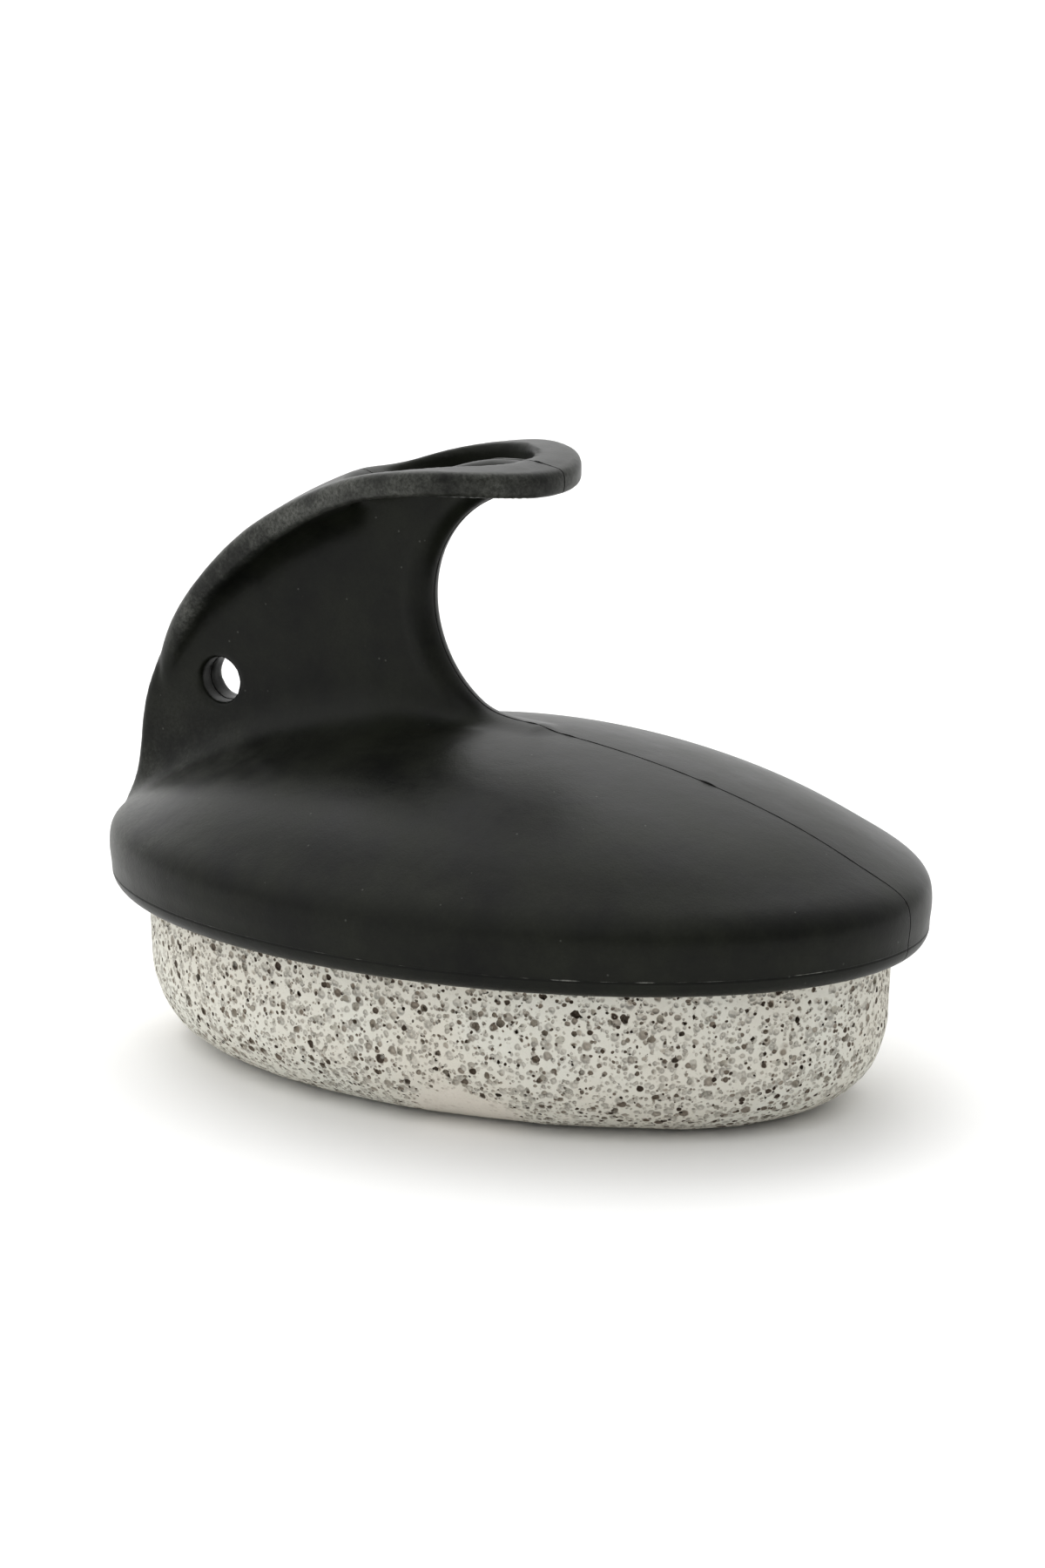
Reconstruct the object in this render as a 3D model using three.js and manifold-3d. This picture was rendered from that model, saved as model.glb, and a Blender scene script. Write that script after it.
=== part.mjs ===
// A pumice stone for foot care, held in a one-piece rubber grip.
//
// Frame: millimetres, +Z up. The origin is on the stone's flat underside, at the middle of its oval plan.
// +X runs along the length, towards the open front of the grip. The web and ring stand over the line Y = 0.

import * as THREE from "three";
import { mergeVertices } from "three/addons/utils/BufferGeometryUtils.js";
import Module from "manifold-3d";

// ---- Driving dimensions --------------------------------------------------------------------------

const rim = {
  length: 110, // over the widest line of the rubber
  width: 75,
  widestHeight: 22.4, // height of the mould's parting line, where the upright side starts
  sideTop: 25.3, // where the upright side turns over into the dome
  lipRadius: 2.4, // the side curls under with this radius to meet the stone
  wall: 4.6, // from the rim's outside to the stone
};

const dome = {
  top: 43.4,
  // Exponents of the arch from rim to top: 1 would be straight like a tent, 2 a quarter of an ellipse.
  archAlong: 1.56,
  archAcross: 1.76,
  shoulder: 0.75, // added to the exponent at the rim, for a soft round shoulder
  shoulderFrom: 0.88, // how far out the shoulder starts, as a share of the way to the rim
};

const recess = {
  ceiling: 25.4, // how far up the stone's seat goes inside the rubber
};

const stone = {
  edgeRadius: 10.9, // the worn bottom edge
  sideSlope: 0.4, // the side leans in by this much from the rim down to the rounded edge
};

const seatGap = 0.3;

const web = {
  thickness: 5.1, // its front edge is fully rounded
  rootRadius: 4, // hollow curve that spreads the web's foot into the dome
  intoBand: 0.5, // the web's top edge stands this far into the band, and so shows in the ring's hole
};

const band = {
  thickness: 3.1, // of the band and of the finger ring it ends in
  flareX: -51, // behind this the band is no wider than the web
  ringX: -22, // here the band runs into the ring
  ringHalfWidth: 10.1, // its half width there
};

const ring = {
  halfWidth: 14.1,
  widestX: -4.5,
  tipX: 7.5,
  tipZ: 75.8, // height of its upper face there
  tipHalfWidth: 8, // how blunt the tip is
  holeX: -10,
  holeHalfWidth: 10.9,
  holeHalfLength: 11.6,
};

const hangingHole = {
  diameter: 6.1,
  x: -41.7,
  z: 44.6,
};

// ---- Curves of the side view, as (x, z) ----------------------------------------------------------

// The outer line of the band: up from the heel, over the back, forward to the ring's tip.
const backCurve = new THREE.SplineCurve([
  new THREE.Vector2(-54.3, 28.4),
  new THREE.Vector2(-54.5, 35.2),
  new THREE.Vector2(-52.7, 43.5),
  new THREE.Vector2(-47.2, 53.1),
  new THREE.Vector2(-38.7, 62.2),
  new THREE.Vector2(-28, 69.4),
  new THREE.Vector2(-16.7, 74.3),
  new THREE.Vector2(-5.7, 76.5),
  new THREE.Vector2(2.1, 76.6),
  new THREE.Vector2(ring.tipX, ring.tipZ),
]);

// The web's front edge: a deep hollow for the forefinger, from the dome up to the ring's underside.
const frontCurve = new THREE.CubicBezierCurve(
  new THREE.Vector2(4, 43.1),
  new THREE.Vector2(-13.4, 43),
  new THREE.Vector2(-18.8, 70.3),
  new THREE.Vector2(4.5, 73.5),
);

const curveSteps = 36;
const planSegments = 72;
const clearance = 10; // how far a cutting shape reaches past what it cuts

// ---- Solids and booleans -------------------------------------------------------------------------

const wasm = await Module();
wasm.setup();

function toSolid(geometry) {
  const bare = geometry.index ? geometry.toNonIndexed() : geometry.clone();
  bare.deleteAttribute("normal");
  bare.deleteAttribute("uv");
  const merged = mergeVertices(bare, 1e-4);
  return new wasm.Manifold(
    new wasm.Mesh({
      numProp: 3,
      vertProperties: merged.attributes.position.array,
      triVerts: new Uint32Array(merged.index.array),
    }),
  );
}

function toGeometry(solid) {
  const { vertProperties, triVerts } = solid.getMesh();
  const geometry = new THREE.BufferGeometry();
  geometry.setAttribute("position", new THREE.BufferAttribute(vertProperties, 3));
  geometry.setIndex(new THREE.BufferAttribute(triVerts, 1));
  geometry.computeVertexNormals();
  return geometry;
}

// ---- Shape helpers -------------------------------------------------------------------------------

const halfLength = rim.length / 2;
const halfWidth = rim.width / 2;

// Turns a profile of (radius, z) about Z, then draws it in sideways into the oval plan.
// Walls outside coreRadius keep their thickness all the way round; inside it the plan is simply squeezed.
function ovalLathe(profile, coreRadius) {
  const geometry = new THREE.LatheGeometry(profile, planSegments);
  geometry.rotateX(Math.PI / 2);
  const drawIn = halfLength - halfWidth;
  const position = geometry.attributes.position;
  for (let i = 0; i < position.count; i += 1) {
    const x = position.getX(i);
    const y = position.getY(i);
    const reach = Math.max(Math.hypot(x, y), coreRadius);
    position.setY(i, y * (1 - drawIn / reach));
  }
  return geometry;
}

// A side-view outline given as (x, z), made into a slab of this thickness that straddles Y = 0.
function slab(shape, thickness) {
  const geometry = new THREE.ExtrudeGeometry(shape, { depth: thickness, bevelEnabled: false });
  geometry.translate(0, 0, -thickness / 2);
  geometry.rotateX(Math.PI / 2);
  return geometry;
}

// The points of a curve moved sideways by a distance: to its right as it runs, for a positive one.
function offsetPoints(curve, distance) {
  const points = [];
  for (let i = 0; i <= curveSteps; i += 1) {
    const t = i / curveSteps;
    const along = curve.getTangent(t);
    points.push(curve.getPoint(t).add(new THREE.Vector2(along.y, -along.x).multiplyScalar(distance)));
  }
  return points;
}

// ---- The stone -----------------------------------------------------------------------------------

function stoneGeometry() {
  const reach = halfLength - rim.wall;
  const bottomReach = reach - stone.sideSlope;
  const outline = new THREE.Path();
  outline.moveTo(0, 0);
  outline.lineTo(bottomReach - stone.edgeRadius, 0);
  outline.absarc(
    bottomReach - stone.edgeRadius,
    stone.edgeRadius,
    stone.edgeRadius,
    -Math.PI / 2,
    0,
    false,
  );
  outline.lineTo(reach, recess.ceiling - seatGap);
  outline.lineTo(0, recess.ceiling - seatGap);
  return ovalLathe(outline.getPoints(7), bottomReach - stone.edgeRadius);
}

// ---- The rubber grip -----------------------------------------------------------------------------

// How high the dome stands over the rim's side, as a share of its full rise.
// t is how far out the place is, 0 in the middle and 1 at the rim; angle is the direction it lies in.
function domeShare(t, angle) {
  const turn = Math.max(0, (t - dome.shoulderFrom) / (1 - dome.shoulderFrom)) ** 2;
  const arch =
    dome.archAlong * Math.cos(angle) ** 2 +
    dome.archAcross * Math.sin(angle) ** 2 +
    dome.shoulder * turn;
  return (1 - Math.min(t, 1) ** arch) ** (1 / arch);
}

// Rim and dome, solid down to the lip's underside.
function domeGeometry() {
  const underside = rim.widestHeight - rim.lipRadius;
  const outline = new THREE.Path();
  outline.moveTo(0, underside);
  outline.lineTo(halfLength - rim.lipRadius, underside);
  outline.absarc(
    halfLength - rim.lipRadius,
    rim.widestHeight,
    rim.lipRadius,
    -Math.PI / 2,
    0,
    false,
  );
  outline.lineTo(halfLength, rim.sideTop);
  const points = outline.getPoints(5);
  const rings = 15;
  const crowding = 1.3; // above 1, the rings stand closer together at the crown
  for (let i = 1; i < rings; i += 1) {
    const angle = (i / rings) * (Math.PI / 2);
    points.push(new THREE.Vector2(halfLength * Math.cos(angle) ** crowding, rim.sideTop + i));
  }
  points.push(new THREE.Vector2(0, rim.sideTop + rings));
  const geometry = ovalLathe(points, halfLength - rim.lipRadius);
  const position = geometry.attributes.position;
  // The rings are lifted from their even spacing onto the dome.
  const drawnIn = 1 - (halfLength - halfWidth) / (halfLength - rim.lipRadius);
  for (let i = 0; i < position.count; i += 1) {
    if (position.getZ(i) > rim.sideTop + 0.5) {
      const x = position.getX(i);
      const y = position.getY(i) / drawnIn;
      const share = domeShare(Math.hypot(x, y) / halfLength, Math.atan2(y, x));
      position.setZ(i, rim.sideTop + (dome.top - rim.sideTop) * share);
    }
  }
  return geometry;
}

function seatGeometry() {
  const reach = halfLength - rim.wall + seatGap;
  const below = rim.widestHeight - rim.lipRadius - clearance;
  return ovalLathe([
    new THREE.Vector2(0, below),
    new THREE.Vector2(reach, below),
    new THREE.Vector2(reach, recess.ceiling),
    new THREE.Vector2(0, recess.ceiling),
  ], reach - rim.wall);
}

// The height of the dome over the middle line.
function domeHeight(x) {
  return rim.sideTop + (dome.top - rim.sideTop) * domeShare(Math.abs(x) / halfLength, 0);
}

// The upright web: its outline follows the back curve, then the front edge down to the dome.
// frontInset draws the front edge back from the front curve.
function webOutline(frontInset) {
  const behind = backCurve.getPoints(curveSteps).filter((point) => point.x < frontCurve.v3.x);
  const infront = offsetPoints(frontCurve, -frontInset).reverse();
  const footEnd = new THREE.Vector2(infront.at(-1).x, behind[0].y);
  return new THREE.Shape([...behind, ...infront, footEnd]);
}

// The full round of the web's front edge: a rod run along it, half sunk in the slab.
function webEdgeGeometry() {
  const middle = offsetPoints(frontCurve, -web.thickness / 2);
  const path = new THREE.CatmullRomCurve3(middle.map((point) => new THREE.Vector3(point.x, 0, point.y)));
  const section = new THREE.Shape();
  section.absarc(0, 0, web.thickness / 2, 0, 2 * Math.PI, false);
  return new THREE.ExtrudeGeometry(section, {
    steps: curveSteps,
    curveSegments: 12,
    extrudePath: path,
    bevelEnabled: false,
  });
}

// A strip bent along the back curve, between two depths below it: the band and the ring are cut from one.
function bandStrip(from, to) {
  const outer = offsetPoints(backCurve, from);
  const inner = offsetPoints(backCurve, to).reverse();
  return slab(new THREE.Shape([...outer, ...inner]), 4 * ring.halfWidth);
}

// The band and ring seen from above: web-wide at the heel, flaring to the ring, round at the tip.
function bandPlan() {
  const heelX = -halfLength - clearance;
  const slim = web.thickness / 2;
  const wide = ring.halfWidth;
  const half = new THREE.Path();
  half.moveTo(heelX, -slim);
  half.lineTo(band.flareX, -slim);
  half.bezierCurveTo(band.flareX + 6, -6.4, band.ringX - 11, -6.2, band.ringX, -band.ringHalfWidth);
  half.bezierCurveTo(band.ringX + 7, -12.4, ring.widestX - 5.5, -wide, ring.widestX, -wide);
  half.bezierCurveTo(ring.widestX + 6, -wide, ring.tipX, -ring.tipHalfWidth, ring.tipX, 0);
  const near = half.getPoints(16);
  const far = near.slice(0, -1).reverse();
  const shape = new THREE.Shape([
    ...near,
    ...far.map((point) => new THREE.Vector2(point.x, -point.y)),
  ]);
  const geometry = new THREE.ExtrudeGeometry(shape, { depth: 60, bevelEnabled: false });
  geometry.translate(0, 0, rim.sideTop);
  return geometry;
}

function ringHoleGeometry() {
  const shape = new THREE.Shape();
  shape.absellipse(ring.holeX, 0, ring.holeHalfLength, ring.holeHalfWidth, 0, 2 * Math.PI, false, 0);
  const geometry = new THREE.ExtrudeGeometry(shape, {
    depth: 2 * clearance,
    bevelEnabled: false,
    curveSegments: 32,
  });
  geometry.translate(0, 0, ring.tipZ - clearance);
  return geometry;
}

function hangingHoleGeometry() {
  const geometry = new THREE.CylinderGeometry(
    hangingHole.diameter / 2,
    hangingHole.diameter / 2,
    4 * web.thickness,
    24,
  );
  geometry.translate(hangingHole.x, 0, hangingHole.z);
  return geometry;
}

// The hollow-sided root that spreads the web into the dome, run along the dome's middle line.
function rootGeometry() {
  const points = [];
  const steps = 16;
  const dip = 0.6; // the dome falls away by this much under the root's outer edges
  const from = -halfLength + 1.5;
  const to = frontCurve.v0.x;
  for (let i = 0; i <= steps; i += 1) {
    const x = from + ((to - from) * i) / steps;
    points.push(new THREE.Vector3(x, 0, domeHeight(x) - dip));
  }
  // In this section x is sideways and y is downwards.
  const slim = web.thickness / 2 - 0.2;
  const radius = web.rootRadius;
  const sunk = 1.5;
  const section = new THREE.Shape();
  section.moveTo(-slim - radius, sunk);
  section.lineTo(-slim - radius, 0);
  section.absarc(-slim - radius, -radius, radius, Math.PI / 2, 0, true);
  section.lineTo(slim, -radius);
  section.absarc(slim + radius, -radius, radius, Math.PI, Math.PI / 2, true);
  section.lineTo(slim + radius, sunk);
  return new THREE.ExtrudeGeometry(section, {
    steps: 2 * steps,
    curveSegments: 4,
    extrudePath: new THREE.CatmullRomCurve3(points),
    bevelEnabled: false,
  });
}

function handleGeometry() {
  const ringAndBand = toSolid(bandStrip(0, band.thickness))
    .intersect(toSolid(bandPlan()))
    .subtract(toSolid(ringHoleGeometry()));
  const upright = toSolid(slab(webOutline(web.thickness / 2), web.thickness))
    .add(toSolid(webEdgeGeometry()))
    .subtract(toSolid(bandStrip(-clearance, band.thickness - web.intoBand)));
  const overRoot = slab(webOutline(web.rootRadius / 2), 4 * web.rootRadius);
  const root = toSolid(rootGeometry()).intersect(toSolid(overRoot));
  const solid = toSolid(domeGeometry())
    .add(upright)
    .add(root)
    .add(ringAndBand)
    .subtract(toSolid(seatGeometry()))
    .subtract(toSolid(hangingHoleGeometry()));
  return toGeometry(solid);
}

// ---- The part ------------------------------------------------------------------------------------

const pumice = new THREE.MeshStandardMaterial({ color: 0xd6d3ca, roughness: 0.95, metalness: 0 });
const rubber = new THREE.MeshStandardMaterial({ color: 0x2b2c28, roughness: 0.6, metalness: 0 });

const pumiceStone = new THREE.Mesh(stoneGeometry(), pumice);
pumiceStone.name = "pumice_stone";

const rubberHandle = new THREE.Mesh(handleGeometry(), rubber);
rubberHandle.name = "rubber_handle";

const part = new THREE.Group();
part.add(pumiceStone, rubberHandle);

export default part;
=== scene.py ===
"""Pumice stone in a moulded rubber grip: the looks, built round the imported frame.

Lengths inside the builders are millimetres, in the frame's own axes: +X towards the open front of the
grip, +Z up, and the mould's parting plane is Y = 0. Meshes are made in metres.
"""

import math
from types import SimpleNamespace

import bpy
import numpy as np
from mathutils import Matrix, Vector
from mathutils.bvhtree import BVHTree
from mathutils.kdtree import KDTree


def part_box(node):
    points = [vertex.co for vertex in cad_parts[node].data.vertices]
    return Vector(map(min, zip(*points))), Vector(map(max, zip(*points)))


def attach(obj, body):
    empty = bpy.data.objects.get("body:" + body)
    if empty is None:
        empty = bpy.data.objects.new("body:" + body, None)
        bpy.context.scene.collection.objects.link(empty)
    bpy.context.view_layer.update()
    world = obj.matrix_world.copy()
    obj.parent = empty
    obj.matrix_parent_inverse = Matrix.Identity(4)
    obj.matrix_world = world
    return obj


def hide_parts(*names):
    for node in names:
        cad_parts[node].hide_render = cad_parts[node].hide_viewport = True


bl_info = {
    "name": "Pumice Stone With Rubber Grip",
    "version": (1, 0, 0),
    "blender": (4, 5, 0),
    "location": "3D View > Sidebar > Pumice",
    "description": "Builds a foot-care pumice stone, its moulded rubber grip and a plain studio",
    "category": "Add Mesh",
}

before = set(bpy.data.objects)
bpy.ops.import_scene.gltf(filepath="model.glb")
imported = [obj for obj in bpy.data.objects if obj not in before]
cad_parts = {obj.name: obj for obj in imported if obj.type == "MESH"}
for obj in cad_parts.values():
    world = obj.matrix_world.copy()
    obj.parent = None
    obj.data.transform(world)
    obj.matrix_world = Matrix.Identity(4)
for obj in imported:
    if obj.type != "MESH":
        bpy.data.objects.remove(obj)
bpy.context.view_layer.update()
GRIP_LOW, GRIP_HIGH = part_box("rubber_handle")
STONE_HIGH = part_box("pumice_stone")[1]

MM = 0.001
BODY = "root"
FLASH_SEED = 3.0
PORE_UNEVENNESS = 1.1

# Kinds of node that are used often.
MATH, VECTOR_MATH, MIX, RAMP = "ShaderNodeMath", "ShaderNodeVectorMath", "ShaderNodeMix", "ShaderNodeValToRGB"
NOISE, CELLS, ATTRIBUTE = "ShaderNodeTexNoise", "ShaderNodeTexVoronoi", "ShaderNodeAttribute"
NAMED, STORE = "GeometryNodeInputNamedAttribute", "GeometryNodeStoreNamedAttribute"


# ---- Sizes and finishes that a user may change ---------------------------------------------------


def length_property(name, description, default_mm):
    return bpy.props.FloatProperty(
        name=name, description=description, default=default_mm * MM, subtype="DISTANCE", unit="LENGTH"
    )


def colour_property(name, description, default):
    return bpy.props.StringProperty(name=name, description=description, default=default)


def count_property(name, description, default):
    return bpy.props.IntProperty(name=name, description=description, default=default, min=1)


class GripSettings(bpy.types.PropertyGroup):
    parting_height: length_property("Parting height", "Height of the mould's parting line", 22.4)
    parting_inset: length_property("Parting inset", "How far that line stands inside the widest one", 0.25)
    side_top: length_property("Side top", "Height of the rim's widest line", 25.3)
    dome_top: length_property("Dome top", "Height of the dome's highest point", 43.4)
    lip_radius: length_property("Lip radius", "Radius of the rim's curl under to the stone", 2.4)
    wall: length_property("Wall", "From the rim's outside to the stone", 4.55)
    seat_height: length_property("Seat height", "Height of the seat's ceiling over the stone", 25.4)
    web_thickness: length_property("Web thickness", "Thickness of the web at its rounded front edge", 5.5)
    panel_thickness: length_property("Panel thickness", "Thickness of the web behind its front edge", 5.0)
    band_thickness: length_property("Band thickness", "Thickness of the ring and the band's top", 3.1)
    heel_thickness: length_property("Heel thickness", "Thickness of the band at the heel", 2.5)
    band_edge: length_property("Band edge", "Radius on the edges of the band and the ring", 1.0)
    ring_half_width: length_property("Ring half width", "Half of the ring's width over its outside", 14.1)
    hole_radius: length_property("Hanging hole radius", "Radius of the hanging hole", 2.95)
    root_fillet: length_property("Root fillet", "Reach of the hollow where the web meets the dome", 9.0)
    heel_fillet: length_property("Heel fillet", "Reach of that hollow at the heel", 6.3)
    front_fillet: length_property("Front fillet", "Reach of that hollow at the web's front edge", 2.2)
    band_fillet: length_property("Band fillet", "Reach of the hollow where the web meets the band", 7.5)
    cell: length_property("Cell", "Size of the mesh's faces", 0.53)
    flash_width: length_property("Flash width", "Width of the ridge along the parting lines", 0.16)
    flash_tag: length_property("Flash tags", "Width of the thicker tags of flash", 0.35)
    black: colour_property("Rubber", "sRGB colour of the clean rubber", "#080907")
    olive: colour_property("Olive rubber", "sRGB colour of the rubber where it has dulled", "#14160f")
    bloom: colour_property("Bloom", "sRGB colour of the dusty bloom on the rubber", "#6f706b")


class StoneSettings(bpy.types.PropertyGroup):
    edge_radius: length_property("Edge radius", "Radius of the worn bottom edge", 10.9)
    pore_large: length_property("Largest pore", "Opening of the largest pores", 1.6)
    pore_small: length_property("Smallest pore", "Opening of the smallest cut pores", 0.42)
    pore_wall: length_property("Pore wall", "Least stone between two pores of one round", 0.02)
    large_tries: count_property("Large pore tries", "How many places are tried for a large pore", 980)
    medium_tries: count_property("Medium pore tries", "How many are tried for a medium pore", 2300)
    small_tries: count_property("Small pore tries", "How many are tried for a small pore", 2300)
    underside_share: bpy.props.FloatProperty(
        name="Underside share", description="How many pores the underside has for one on the side",
        default=0.4, min=0,
    )
    seed: bpy.props.IntProperty(name="Seed", description="Seed of the pores' places and sizes", default=7)
    body: colour_property("Stone", "sRGB colour of the cut stone", "#dcdbd1")
    warm: colour_property("Warm stone", "sRGB colour of the stone's warmer parts", "#d8d4c8")
    # Pore and Deep pore are painted shade: the grey of a pore's wall and the near black of the deepest pores
    # stand in for the shade inside them.
    inside: colour_property("Pore", "sRGB colour of a pore's wall", "#928677")
    deep: colour_property("Deep pore", "sRGB colour of the deepest pores", "#382e25")


class StageSettings(bpy.types.PropertyGroup):
    azimuth: bpy.props.FloatProperty(
        name="Azimuth", description="Direction the camera looks from", default=math.radians(30.4),
        subtype="ANGLE", unit="ROTATION",
    )
    elevation: bpy.props.FloatProperty(
        name="Elevation", description="Height of the camera over the horizon", default=math.radians(13.8),
        subtype="ANGLE", unit="ROTATION",
    )
    distance: length_property("Distance", "From the camera to the point it looks at", 594.2)
    target_height: length_property("Target height", "Height of the point the camera looks at", 36.67)
    lens: bpy.props.FloatProperty(
        name="Lens", description="Focal length for a 36 mm sensor along the picture's long side",
        default=110.1, subtype="DISTANCE_CAMERA",
    )
    floor: colour_property("Floor", "sRGB colour of the floor", "#f6f6f5")
    room_light: bpy.props.FloatProperty(
        name="Room light", description="Strength of the soft light from all round", default=1.65, min=0
    )


# ---- Meshes and nodes ----------------------------------------------------------------------------


def in_mm(settings):
    """The settings as plain values, with lengths in millimetres."""
    values = {}
    for key in settings.__annotations__:
        value = getattr(settings, key)
        is_length = settings.bl_rna.properties[key].unit == "LENGTH"
        values[key] = value / MM if is_length else value
    return SimpleNamespace(**values)


def make_object(name, points_mm, faces, material):
    """A mesh object in metres, smooth shaded, from points in millimetres."""
    mesh = bpy.data.meshes.new(name)
    points = np.asarray(points_mm, np.float32) * MM
    mesh.from_pydata(points.tolist(), [], [list(face) for face in faces])
    mesh.shade_smooth()
    mesh.materials.append(material)
    obj = bpy.data.objects.new(name, mesh)
    bpy.context.scene.collection.objects.link(obj)
    return obj


def mesh_points(mesh):
    """The mesh's vertices in millimetres."""
    points = np.zeros(len(mesh.vertices) * 3, np.float32)
    mesh.vertices.foreach_get("co", points)
    return points.reshape(-1, 3).astype(float) / MM


def set_attribute(mesh, name, values):
    """Stores one number for each vertex."""
    attribute = mesh.attributes.new(name, "FLOAT", "POINT")
    attribute.data.foreach_set("value", np.asarray(values, np.float32))


def hang_on_frame(obj, node):
    """Rides on the frame's body and stands for its CAD node, which it hides."""
    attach(obj, BODY)
    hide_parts(node)


def baked(obj):
    """Turns an object's modifiers into plain mesh."""
    graph = bpy.context.evaluated_depsgraph_get()
    mesh = bpy.data.meshes.new_from_object(obj.evaluated_get(graph))
    obj.modifiers.clear()
    obj.data = mesh
    mesh.name = obj.name
    return obj


def set_input(modifier, name, value):
    """Sets a Geometry Nodes input by its socket's identifier."""
    for item in modifier.node_group.interface.items_tree:
        if item.item_type == "SOCKET" and item.in_out == "INPUT" and item.name == name:
            modifier[item.identifier] = value
            return
    raise RuntimeError(f"the tree has no input named {name}")


def linear(hex_colour):
    """An sRGB hex colour as linear red, green, blue and alpha."""
    code = hex_colour.lstrip("#")
    channels = [int(code[i:i + 2], 16) / 255 for i in (0, 2, 4)]
    return [c / 12.92 if c <= 0.04045 else ((c + 0.055) / 1.055) ** 2.4 for c in channels] + [1.0]


def add(tree, kind, inputs=(), stops=(), **settings):
    """Adds a node with its inputs, in order or by name or number, and its settings. An input takes a
    socket, a node (its first output), a value, or an sRGB hex colour. stops are a colour ramp's places,
    each with a grey or an sRGB hex colour."""
    node = tree.nodes.new(kind)
    for key, value in settings.items():
        setattr(node, key, value)
    for socket, value in inputs.items() if isinstance(inputs, dict) else enumerate(inputs):
        if isinstance(value, bpy.types.Node):
            tree.links.new(value.outputs[0], node.inputs[socket])
        elif isinstance(value, bpy.types.NodeSocket):
            tree.links.new(value, node.inputs[socket])
        else:
            is_colour = isinstance(value, str) and value.startswith("#")
            node.inputs[socket].default_value = linear(value) if is_colour else value
    if stops:
        elements = node.color_ramp.elements
        while len(elements) < len(stops):
            elements.new(0.5)
        for element, (place, value) in zip(elements, stops):
            element.position = place
            element.color = linear(value) if isinstance(value, str) else [value] * 3 + [1.0]
    return node


def new_material(name):
    """A material with its node tree and its Principled shader."""
    material = bpy.data.materials.new(name)
    material.use_nodes = True
    tree = material.node_tree
    return material, tree, tree.nodes["Principled BSDF"]


def geometry_tree(name, sockets):
    """A Geometry Nodes tree with named inputs and one geometry output."""
    tree = bpy.data.node_groups.new(name, "GeometryNodeTree")
    for socket, kind in sockets.items():
        tree.interface.new_socket(socket, in_out="INPUT", socket_type="NodeSocket" + kind)
    tree.interface.new_socket("Result", in_out="OUTPUT", socket_type="NodeSocketGeometry")
    return tree, tree.nodes.new("NodeGroupInput").outputs


def finish_tree(tree, geometry, material):
    """Ends a Geometry Nodes tree in real geometry with its material."""
    whole = add(tree, "GeometryNodeRealizeInstances", [geometry])
    finish = add(tree, "GeometryNodeSetMaterial", {"Geometry": whole, "Material": material})
    out = tree.nodes.new("NodeGroupOutput")
    tree.links.new(finish.outputs[0], out.inputs[0])


# ---- Shapes as distance fields, in millimetres ---------------------------------------------------


def bezier(points, steps):
    """Points along a cubic curve."""
    t = np.linspace(0, 1, steps + 1)[:, None]
    a, b, c, d = (np.array(p, float) for p in points)
    return a * (1 - t) ** 3 + 3 * b * t * (1 - t) ** 2 + 3 * c * t ** 2 * (1 - t) + d * t ** 3


def line_side(points, u, v):
    """Distance to a chain of straight steps, positive on the left of its run."""
    best = None
    for (pu, pv), (qu, qv) in zip(points[:-1], points[1:]):
        du, dv = qu - pu, qv - pv
        along = np.clip(((u - pu) * du + (v - pv) * dv) / (du * du + dv * dv), 0, 1)
        gap_u = u - pu - along * du
        gap_v = v - pv - along * dv
        square = gap_u ** 2 + gap_v ** 2
        side = du * gap_v - dv * gap_u
        if best is None:
            best, sign = square, np.sign(side)
        else:
            closer = square < best
            best = np.where(closer, square, best)
            sign = np.where(closer, np.sign(side), sign)
    return np.sqrt(best) * sign


def oval_side(x, y, half_x, half_y):
    """Close to the distance from an ellipse, positive outside it."""
    share = np.hypot(x / half_x, y / half_y) + 1e-9
    slope = np.hypot(x / half_x ** 2, y / half_y ** 2) / share + 1e-9
    return (share - 1) / slope


def round_meet(a, b, radius):
    """Where both fields are inside, with the corner between them rounded."""
    reach = np.hypot(np.maximum(a + radius, 0), np.maximum(b + radius, 0))
    return reach + np.minimum(np.maximum(a, b) + radius, 0) - radius


def soft_join(a, b, reach):
    """Where either field is inside, with a hollow fillet in the corner between them."""
    h = np.maximum(reach - np.abs(a - b), 0) / reach
    return np.minimum(a, b) - h * h * reach / 4


def ease(value, low, high):
    """0 below low, 1 above high, and a smooth step between."""
    t = np.clip((value - low) / (high - low), 0, 1)
    return t * t * (3 - 2 * t)


def soft_noise(points, wavelength, seed):
    """Smooth, seeded unevenness between about -1 and 1."""
    rng = np.random.default_rng(seed)
    total = np.zeros(len(points))
    waves = 14
    for _ in range(waves):
        direction = rng.normal(size=3)
        direction *= 2 * math.pi / wavelength * rng.uniform(0.6, 1.4) / np.linalg.norm(direction)
        total += np.sin(points @ direction + rng.uniform(0, 2 * math.pi))
    return total / math.sqrt(waves)


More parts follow.
